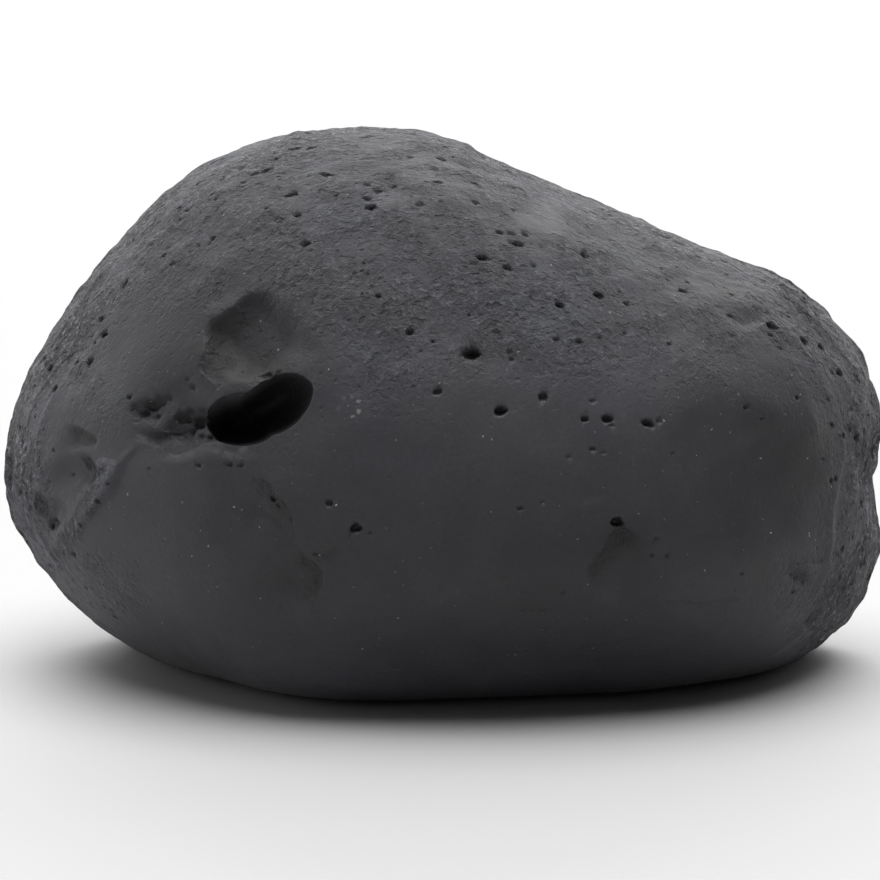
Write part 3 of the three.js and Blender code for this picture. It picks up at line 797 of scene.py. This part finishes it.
class Skin:
    """What breaks up the worn body: pockets and fine unevenness, drawn once from a seed."""

    def __init__(self, seed):
        draws = np.random.default_rng(seed)
        self.swell = random_waves(draws, SWELL_LENGTH)
        self.ripple = random_waves(draws, RIPPLE_LENGTH)
        self.crumble = random_waves(draws, CRUMBLE_LENGTH)
        self.crowding = random_waves(draws, CROWDS)
        directions, triangles = sphere_grid(START_GRID)
        points, _ = body(directions)
        listed = np.array(POCKETS + CRUMBS)
        on_front, _ = body(directions_seen_at(listed[:, :2], directions, points))
        listed_depths = np.repeat((DEEP_POCKET, CRUMB_DEPTH), (len(POCKETS), len(CRUMBS)))
        listed_depths *= np.clip(listed[:, 2] / WIDE_POCKET, LEAST_OF_DEPTH, 1)
        centres, radii, depths = [on_front], [listed[:, 2]], [listed_depths]
        fronts = [np.full(len(listed), True)]
        corner = points[triangles]
        area = np.linalg.norm(np.cross(corner[:, 1] - corner[:, 0], corner[:, 2] - corner[:, 0]), axis=1)
        middle, direction = corner.mean(1), unit(directions[triangles].mean(1))
        x, z = seen(middle)
        off_socket = np.hypot(x - SOCKET_MIDDLE[0], z - SOCKET_MIDDLE[1]) > CLEAR_OF_SOCKET
        clear = (height_above_ground(middle) > CLEAR_OF_GROUND) & ((direction[:, 2] < 0) | off_socket)
        weight = area * rough_share(middle, direction) ** ROUGH_CROWDING_POWER * clear
        weight *= np.exp(CROWDS_STRENGTH * field(middle, self.crowding))
        weight *= 1 + ENDS_CROWDING * smoothstep(np.abs(middle[:, 0]), *ENDS_CROWDING_FROM)
        for drawn, front in ((DRAWN_FRONT, True), (DRAWN_BACK, False)):
            chance = weight * ((direction[:, 2] > 0) == front)
            picked = draws.choice(len(chance), drawn["count"], replace=False, p=chance / chance.sum())
            small, large = drawn["radii"]
            centres.append(middle[picked])
            radii.append(small + (large - small) * draws.random(len(picked)) ** SMALL_ONES_POWER)
            depths.append(draws.uniform(SHALLOW_POCKET, DEEP_POCKET, len(picked)))
            fronts.append(np.full(len(picked), front))
        self.centres, self.radii = np.concatenate(centres), np.concatenate(radii)
        self.depths, self.on_front = np.concatenate(depths), np.concatenate(fronts)

    def near_pockets(self, points, reach=POCKET_REACH):
        """For each pocket, the points within some radii of its centre, found in a window sorted by x. Radii
        are longer sideways than upright."""
        order = np.argsort(points[:, 0])
        sorted_x = points[order, 0]
        window = reach * self.radii / POCKET_STRETCH[0]
        low = np.searchsorted(sorted_x, self.centres[:, 0] - window)
        high = np.searchsorted(sorted_x, self.centres[:, 0] + window)
        for number, centre in enumerate(self.centres):
            near = order[low[number]:high[number]]
            q = np.linalg.norm((points[near] - centre) * POCKET_STRETCH, axis=1) / self.radii[number]
            yield number, near[q < reach], q[q < reach]

    def pocket_depth(self, points):
        """Each pocket is a bowl, depth * radius * sqrt(1 - q^2), with a slightly uneven outline, and the
        deepest one counts."""
        deepest = np.zeros(len(points))
        crumble = field(points, self.crumble)
        for number, near, q in self.near_pockets(points):
            q = q * (1 + POCKET_UNEVEN * crumble[near])
            bowl = self.depths[number] * self.radii[number] * np.sqrt(np.clip(1 - q * q, 0, None))
            deepest[near] = np.maximum(deepest[near], bowl)
        return deepest

    def surface(self, directions):
        """The finished points, and by name what the material needs at each: shares of rough skin, of
        painted shade in pockets and the socket, of broken stone with painted shade, and of crystals, and
        the broad tone with painted light and shade."""
        points, normals = body(directions)
        rough = rough_share(points, directions)
        grounded = smoothstep(height_above_ground(points), *GROUND_FADE)
        x, z = seen(points)
        well = np.where(directions[:, 2] > 0, socket_depth(x, z), 0)
        in_socket = np.clip(well / SOCKET_EDGE, 0, 1)
        swell, ripple = field(points, self.swell), field(points, self.ripple)
        uneven = np.minimum(rough, ROUGHEST_SINK)
        sink = mix(*SWELL_HEIGHTS, uneven) * swell + RIPPLE_HEIGHT * uneven * (1 - in_socket) * ripple
        hollow = self.pocket_depth(points) * (1 - in_socket)
        points = points - ((sink + hollow) * grounded)[:, None] * normals
        pocket_shade = np.clip(hollow * grounded / FULL_SHADE_DEPTH, 0, 1)
        shares = {
            "rough_skin": rough,
            "gas_pocket": np.maximum(pocket_shade, SOCKET_SHADE * smoothstep(well, *SOCKET_SHADE_DEPTHS)),
            "broken_stone": broken_and_shaded_share(points, directions),
            "pale_crystals": crystal_share(points, directions),
            "tone": tone_and_painted_light_of(points, directions),
        }
        return points, shares

    def longest_edge(self, points, directions):
        """The longest edge allowed at a place, short where there is more to show."""
        front = smoothstep(directions[:, 2], *EDGE_FRONT_FADE)
        rough = np.minimum(rough_share(points, directions), 1)
        target = mix(EDGE_BACK, mix(EDGE_SMOOTH, EDGE_ROUGH, rough), front)
        target = mix(EDGE_UNDER, target, smoothstep(height_above_ground(points), *EDGE_UNDER_FADE))
        fine = (EDGE_IN_POCKETS + EDGE_PER_RADIUS * self.radii) * np.where(self.on_front, 1.0, BACK_COARSER)
        for number, near, _ in self.near_pockets(points):
            target[near] = np.minimum(target[near], fine[number])
        return target

    def mesh(self):
        """Directions and triangles, cut finer until each edge is short enough for its place and follows
        the surface."""
        directions, triangles = sphere_grid(START_GRID)
        for _ in range(REFINE_ROUNDS):
            edges, sides = edges_of(triangles)
            ends = body(directions)[0][edges]
            middle = unit(directions[edges[:, 0]] + directions[edges[:, 1]])
            points = body(middle)[0]
            length = np.linalg.norm(ends[:, 0] - ends[:, 1], axis=1)
            bend = np.linalg.norm(points - ends.mean(1), axis=1)
            marked = length > self.longest_edge(points, middle)
            marked |= (bend > BEND_LEFT) & (length > SHORTEST_EDGE) & (middle[:, 2] > BENDS_COUNT_FROM)
            for _ in range(SPREAD_ROUNDS):
                longest = sides[np.arange(len(sides)), np.argmax(length[sides], 1)]
                marked[longest[marked[sides].any(1)]] = True
            if not marked.any():
                break
            directions, triangles = split(directions, triangles, edges, sides, marked)
        return directions, triangles


def stand_up(points):
    """From right, up and out to the frame's X, Y and Z in millimetres, flat below the foot's sliver."""
    cos, sin = math.cos(EYE_LOOKS_DOWN), math.sin(EYE_LOOKS_DOWN)
    y = points[:, 1] * sin - points[:, 2] * cos
    z = MIDDLE_ABOVE_GROUND + points[:, 1] * cos + points[:, 2] * sin
    return np.stack((points[:, 0], y, np.maximum(z - FOOT_SLIVER, 0)), 1)


def place_in_frame():
    """How far the layout's upright middle lies from the frame's origin, so that stone and solid agree."""
    directions, _ = sphere_grid(START_GRID)
    upright = stand_up(body(directions)[0])
    low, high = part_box(SOLID)
    middle = (upright.min(0) + upright.max(0)) / 2
    return np.array(((low.x + high.x) / 2 / MM - middle[0], (low.y + high.y) / 2 / MM - middle[1], 0.0))


OFFSET = place_in_frame()


def mesh_from(name, points, triangles, shares):
    """A smooth mesh from arrays, with one float attribute for each named share."""
    mesh = bpy.data.meshes.new(name)
    mesh.vertices.add(len(points))
    mesh.vertices.foreach_set("co", np.ascontiguousarray(points, np.float32).reshape(-1))
    mesh.loops.add(triangles.size)
    mesh.loops.foreach_set("vertex_index", np.ascontiguousarray(triangles, np.int32).reshape(-1))
    mesh.polygons.add(len(triangles))
    mesh.polygons.foreach_set("loop_start", np.arange(0, triangles.size, 3, dtype=np.int32))
    mesh.polygons.foreach_set("use_smooth", np.ones(len(triangles), bool))
    mesh.update(calc_edges=True)
    mesh.validate()
    for label, values in shares.items():
        attribute = mesh.attributes.new(label, "FLOAT", "POINT")
        attribute.data.foreach_set("value", np.ascontiguousarray(values, np.float32))
    return mesh


class NodeDesk:
    """Adds shader nodes and joins them, so that a material reads as a short list of steps."""

    def __init__(self, material):
        material.use_nodes = True
        self.tree = material.node_tree
        self.shader = self.tree.nodes["Principled BSDF"]

    def add(self, kind, inputs=None, **settings):
        node = self.tree.nodes.new(kind)
        for key, value in settings.items():
            setattr(node, key, value)
        for key, value in (inputs or {}).items():
            self.put(node, key, value)
        return node

    def put(self, node, key, value):
        if isinstance(value, bpy.types.NodeSocket):
            self.tree.links.new(value, node.inputs[key])
        else:
            node.inputs[key].default_value = value

    def noise(self, place, scale, detail, roughness):
        inputs = {"Vector": place, "Scale": scale, "Detail": detail, "Roughness": roughness}
        return self.add("ShaderNodeTexNoise", inputs).outputs["Fac"]

    def ranged(self, value, start, end=WHOLE):
        """Carries a value from one range of numbers to another, and stops at its ends."""
        keys = ("Value", "From Min", "From Max", "To Min", "To Max")
        return self.add("ShaderNodeMapRange", dict(zip(keys, (value, *start, *end)))).outputs["Result"]

    def math(self, operation, first, second):
        return self.add("ShaderNodeMath", {0: first, 1: second}, operation=operation).outputs[0]

    def grey(self, value):
        inputs = {"Red": value, "Green": value, "Blue": value}
        return self.add("ShaderNodeCombineColor", inputs).outputs[0]

    def tint(self, colour, strength):
        """Multiplies a colour by a strength."""
        return self.blend(1.0, colour, self.grey(strength), "MULTIPLY")

    def blend(self, share, first, second, mode="MIX"):
        """Mixes two colours, or multiplies the first by the second, by a share."""
        node = self.add("ShaderNodeMix", data_type="RGBA", blend_type=mode)
        for key, value in (("Factor", share), ("A", first), ("B", second)):
            socket = next(s for s in node.inputs if s.enabled and s.name == key)
            if isinstance(value, bpy.types.NodeSocket):
                self.tree.links.new(value, socket)
            else:
                socket.default_value = value
        return next(s for s in node.outputs if s.enabled)

    def dots(self, place, cell, share, radius, sharpness):
        """Round dots in a share of the cells, with a random radius up to a part of the cell:
        clamp((radius - distance) * sharpness). Gives the dots and another random value for each."""
        inputs = {"Vector": place, "Scale": 1 / cell, "Randomness": 1.0}
        cells = self.add("ShaderNodeTexVoronoi", inputs)
        random = self.add("ShaderNodeSeparateColor", {"Color": cells.outputs["Color"]})
        size = self.ranged(random.outputs[0], (1 - share, 1.0), (0.0, radius))
        inside = self.math("SUBTRACT", size, cells.outputs["Distance"])
        dot = self.add("ShaderNodeMath", {0: inside, 1: sharpness}, operation="MULTIPLY", use_clamp=True)
        return dot.outputs[0], random.outputs[1]


def lava_stone_material(settings):
    """Charcoal stone: cool and warm blotches, fine grain, pale crests with a painted highlight, holes and
    tiny pits with painted shade on the rough skin, a slightly glossier worn skin, painted shade in gas
    pockets and the socket, painted light and shade from the tone attribute and inside broken rims, pale
    mineral specks and a patch of crystals."""
    material = bpy.data.materials.new("lava_stone")
    desk = NodeDesk(material)
    place = desk.add("ShaderNodeTexCoord").outputs["Object"]
    names = ("rough_skin", "gas_pocket", "broken_stone", "pale_crystals", "tone")
    rough, pocket, broken, crystals, tone = (
        desk.add("ShaderNodeAttribute", attribute_name=name).outputs["Fac"] for name in names)

    blotch = desk.ranged(desk.noise(place, *BLOTCHES), BLOTCH_CONTRAST)
    colour = desk.blend(blotch, (*settings.cool_stone, 1), (*settings.warm_stone, 1))
    cloud = desk.ranged(desk.noise(place, *CLOUDS), CLOUD_CONTRAST, CLOUD_SHADES)
    grain = desk.ranged(desk.noise(place, *GRAIN), GRAIN_CONTRAST, GRAIN_SHADES)
    shade = desk.math("MULTIPLY", cloud, grain)
    colour = desk.tint(colour, desk.math("MULTIPLY", shade, desk.ranged(rough, WHOLE, SKIN_SHADES)))

    patches = desk.ranged(desk.noise(place, *PATCHES), BLOTCH_CONTRAST, PATCH_STRENGTHS)
    open_skin = desk.math("MAXIMUM", rough, desk.math("MULTIPLY", broken, BROKEN_OPENNESS))
    coarse = desk.math("ADD", desk.math("POWER", open_skin, COARSE_POWER), LEAST_COARSE)
    coarse = desk.math("MULTIPLY", coarse, patches)
    lumps = desk.noise(place, *LUMPS)
    # Pale crests: a paler crumb on the lumps' crests together with a painted highlight on them.
    pale_crest_and_highlight = desk.math("MULTIPLY", desk.ranged(lumps, CREST_CONTRAST, CREST_STRENGTHS), coarse)
    colour = desk.tint(colour, desk.math("ADD", pale_crest_and_highlight, 1.0))
    # Painted light and shade: the tone attribute's broad blotches and rim and ridge highlights, and painted
    # shade inside broken rims.
    colour = desk.tint(colour, desk.math("MULTIPLY", tone, desk.ranged(broken, WHOLE, BROKEN_PAINTED_SHADES)))

    uneven = desk.add("ShaderNodeTexNoise", {"Vector": place, **BENDING}).outputs["Color"]
    bending = {0: uneven, 1: (BENT_BY,) * 3, 2: place}
    bent = desk.add("ShaderNodeVectorMath", bending, operation="MULTIPLY_ADD").outputs[0]
    hole, _ = desk.dots(bent, *HOLES)
    hole = desk.math("MULTIPLY", hole, desk.ranged(rough, WHOLE, HOLE_STRENGTHS))
    tiny_pit = desk.ranged(desk.noise(place, *TINY_PITS), TINY_PIT_CONTRAST)
    pit = desk.ranged(desk.noise(place, *PITS), PIT_CONTRAST)
    pitted = desk.math("MAXIMUM", pit, desk.math("MULTIPLY", tiny_pit, TINY_PITS_SHARE))
    pitted = desk.math("MULTIPLY", pitted, coarse)
    # Painted shade: pits, holes, gas pockets and the socket are darkened toward the near-black pocket
    # colour.
    hollow = desk.math("MULTIPLY", pitted, PIT_PAINTED_SHADE)
    hollow = desk.math("MAXIMUM", hollow, desk.math("MULTIPLY", pocket, POCKET_PAINTED_SHADE))
    hollow = desk.math("MAXIMUM", hollow, desk.math("MULTIPLY", hole, HOLE_PAINTED_SHADE))
    colour = desk.blend(hollow, colour, (*settings.pocket, 1))

    speck, brightness = desk.dots(bent, *SPECKS)
    speck = desk.math("MULTIPLY", speck, desk.ranged(brightness, SPECK_CONTRAST, SPECK_STRENGTHS))
    crystal, _ = desk.dots(bent, *CRYSTAL_GRAINS)
    crystal = desk.math("MULTIPLY", desk.math("MULTIPLY", crystal, crystals), CRYSTALS_SHOW)
    colour = desk.blend(desk.math("MAXIMUM", speck, crystal), colour, (*settings.speck, 1))
    desk.put(desk.shader, "Base Color", colour)

    roughness = desk.ranged(rough, WHOLE, (settings.worn_roughness, settings.skin_roughness))
    desk.put(desk.shader, "Roughness", roughness)
    desk.put(desk.shader, "Specular IOR Level", settings.gloss)
    desk.put(desk.shader, "Sheen Weight", settings.dust)
    desk.put(desk.shader, "Sheen Roughness", SHEEN_ROUGHNESS)

    relief = desk.math("MULTIPLY", lumps, coarse)
    relief = desk.math("SUBTRACT", relief, desk.math("MULTIPLY", pitted, SUNK_PITS))
    relief = desk.math("SUBTRACT", relief, desk.math("MULTIPLY", hole, SUNK_HOLES))
    bump = desk.add("ShaderNodeBump", {"Height": relief, "Strength": 1.0, "Distance": settings.relief})
    desk.put(desk.shader, "Normal", bump.outputs["Normal"])
    return material


def plain_material(name, colour, roughness):
    material = bpy.data.materials.new(name)
    desk = NodeDesk(material)
    desk.put(desk.shader, "Base Color", (*colour, 1))
    desk.put(desk.shader, "Roughness", roughness)
    return material


def show(name, mesh):
    piece = bpy.data.objects.new(name, mesh)
    bpy.context.scene.collection.objects.link(piece)
    return piece


class CobbleStone(bpy.types.PropertyGroup):
    seed: IntProperty(name="Seed", description="Draws the small pockets and the unevenness", default=SEED)
    cool_stone: FloatVectorProperty(
        name="Cool Stone", description="Colour of the bluish blotches", subtype="COLOR", size=3,
        default=(0.0385, 0.0392, 0.0468))
    warm_stone: FloatVectorProperty(
        name="Warm Stone", description="Colour of the neutral blotches", subtype="COLOR", size=3,
        default=(0.0422, 0.0398, 0.0455))
    # The near-black colour of the painted shade in pits, holes, gas pockets and the socket.
    pocket: FloatVectorProperty(
        name="Pockets", description="Colour deep in pits and pockets", subtype="COLOR", size=3,
        default=(0.008, 0.008, 0.009))
    speck: FloatVectorProperty(
        name="Specks", description="Colour of the pale mineral specks", subtype="COLOR", size=3,
        default=(0.42, 0.40, 0.35))
    worn_roughness: FloatProperty(
        name="Worn Roughness", description="Roughness of the water-smoothed skin", subtype="FACTOR",
        default=0.6, min=0, max=1)
    skin_roughness: FloatProperty(
        name="Skin Roughness", description="Roughness of the open-pored skin", subtype="FACTOR",
        default=0.75, min=0, max=1)
    gloss: FloatProperty(
        name="Gloss", description="Strength of the stone's reflection", subtype="FACTOR",
        default=0.5, min=0, max=1)
    dust: FloatProperty(
        name="Dust", description="Pale sheen at the stone's edges", subtype="FACTOR",
        default=0.09, min=0, max=1)
    relief: FloatProperty(
        name="Fine Relief", description="Depth of the grain and the tiniest pits", subtype="DISTANCE",
        default=0.001, precision=5)


class CobbleStudio(bpy.types.PropertyGroup):
    floor_colour: FloatVectorProperty(
        name="Floor", description="Colour of the floor", subtype="COLOR", size=3,
        default=(0.54, 0.54, 0.54))
    air: FloatProperty(name="Air", description="Strength of the even light all round", default=0.05, min=0)
    top: FloatProperty(name="Top Light", description="Strength of the softbox overhead", default=3.5, min=0)
    back: FloatProperty(
        name="Back Light", description="Strength of the softbox high behind", default=1.1, min=0)
    low_back: FloatProperty(
        name="Low Back Light", description="Strength of the softbox low behind", default=2.2, min=0)
    back_left: FloatProperty(
        name="Back Left Light", description="Strength of the softbox at back left", default=0.45, min=0)
    left: FloatProperty(
        name="Left Light", description="Strength of the low softbox on the left", default=0.75, min=0)
    right: FloatProperty(
        name="Right Light", description="Strength of the softbox at back right", default=0.4, min=0)


class COBBLE_OT_stone(bpy.types.Operator):
    """Build the whole stone: worn body, marks, socket, gas pockets and rough skin"""

    bl_idname = "cobble.stone"
    bl_label = "Build Stone"

    def execute(self, context):
        settings = context.scene.cobble_stone
        skin = Skin(settings.seed)
        directions, triangles = skin.mesh()
        points, shares = skin.surface(directions)
        mesh = mesh_from("cobble", (stand_up(points) + OFFSET) * MM, triangles, shares)
        piece = show("cobble", mesh)
        mesh.materials.append(lava_stone_material(settings))
        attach(piece, "root")
        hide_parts(SOLID)
        return {"FINISHED"}


FLOOR_HALF = 12.0
FLOOR_ROUGHNESS = 0.9

# The camera: the seen place at the picture's middle, the sensor's width, the picture's width in pixels and
# the millimetres that one pixel shows on the outline's plane, and the nearest and farthest metres drawn.
CENTRE_SEEN = (-0.3, -2.98)
SENSOR = 36.0
PICTURE_PIXELS = 880
MM_PER_PIXEL = 0.149
CLIP = (0.02, 40.0)

# Far softboxes: the studio setting that gives each one's strength, its azimuth seen from above (0 is the
# camera's side and 90 the right), its height above the level, and how wide it looks from the stone.
SOFTBOXES = (
    ("top", 0.0, 89.9, 62.0),
    ("back", 180.0, 40.0, 55.0),
    ("low_back", 180.0, 10.0, 50.0),
    ("back_left", -145.0, 30.0, 60.0),
    ("left", -100.0, 5.0, 50.0),
    ("right", 140.0, 20.0, 40.0),
)


def add_softbox(name, azimuth, height, width, strength):
    """A light so far away that it shines alike on the whole floor."""
    azimuth, height = math.radians(azimuth), math.radians(height)
    toward = Vector((
        math.sin(azimuth) * math.cos(height), -math.cos(azimuth) * math.cos(height), math.sin(height)))
    light = bpy.data.lights.new(name + "_softbox", "SUN")
    light.angle, light.energy = math.radians(width), strength
    box = show(light.name, light)
    box.rotation_euler = (-toward).to_track_quat("-Z", "Y").to_euler()
    return box


def add_camera():
    """Stands at the eye, which looks slightly down, and frames a square picture as the photograph does."""
    right = Vector((1, 0, 0))
    up = Vector((0, math.sin(EYE_LOOKS_DOWN), math.cos(EYE_LOOKS_DOWN)))
    toward = right.cross(up)
    middle = Vector((OFFSET[0], OFFSET[1], MIDDLE_ABOVE_GROUND - FOOT_SLIVER)) * MM
    aim = middle + (right * CENTRE_SEEN[0] + up * CENTRE_SEEN[1]) * MM
    lens = bpy.data.cameras.new("camera")
    lens.sensor_width = SENSOR
    lens.lens = SENSOR * EYE_DISTANCE / (PICTURE_PIXELS * MM_PER_PIXEL)
    lens.clip_start, lens.clip_end = CLIP
    camera = show("camera", lens)
    camera.location = aim + toward * EYE_DISTANCE * MM
    camera.rotation_euler = (-toward).to_track_quat("-Z", "Y").to_euler()
    bpy.context.scene.camera = camera


class COBBLE_OT_studio(bpy.types.Operator):
    """Lay the pale floor, hang the softboxes and set the camera"""

    bl_idname = "cobble.studio"
    bl_label = "Build Studio"

    def execute(self, context):
        settings = context.scene.cobble_studio
        scene = context.scene
        corners = [(x * FLOOR_HALF, y * FLOOR_HALF, 0) for x, y in ((-1, -1), (1, -1), (1, 1), (-1, 1))]
        mesh = bpy.data.meshes.new("floor")
        mesh.from_pydata(corners, [], [(0, 1, 2, 3)])
        mesh.materials.append(plain_material("pale_floor", settings.floor_colour, FLOOR_ROUGHNESS))
        show("floor", mesh)
        world = bpy.data.worlds.new("studio_air")
        world.use_nodes = True
        background = world.node_tree.nodes["Background"]
        background.inputs["Color"].default_value = (1, 1, 1, 1)
        background.inputs["Strength"].default_value = settings.air
        scene.world = world
        scene.view_settings.view_transform = "Standard"
        for name, azimuth, height, width in SOFTBOXES:
            add_softbox(name, azimuth, height, width, getattr(settings, name))
        add_camera()
        return {"FINISHED"}


class COBBLE_PT_panel(bpy.types.Panel):
    bl_idname = "COBBLE_PT_panel"
    bl_label = "Cobble"
    bl_space_type = "VIEW_3D"
    bl_region_type = "UI"
    bl_category = "Cobble"

    def draw(self, context):
        layout = self.layout
        for group, operator in (("cobble_stone", "cobble.stone"), ("cobble_studio", "cobble.studio")):
            settings = getattr(context.scene, group)
            for key in settings.__annotations__:
                layout.prop(settings, key)
            layout.operator(operator)


CLASSES = (CobbleStone, CobbleStudio, COBBLE_OT_stone, COBBLE_OT_studio, COBBLE_PT_panel)


def register():
    for cls in CLASSES:
        bpy.utils.register_class(cls)
    bpy.types.Scene.cobble_stone = PointerProperty(type=CobbleStone)
    bpy.types.Scene.cobble_studio = PointerProperty(type=CobbleStudio)


def unregister():
    del bpy.types.Scene.cobble_studio
    del bpy.types.Scene.cobble_stone
    for cls in reversed(CLASSES):
        bpy.utils.unregister_class(cls)


def main():
    register()
    bpy.ops.cobble.stone()
    bpy.ops.cobble.studio()


if __name__ == "__main__":
    main()
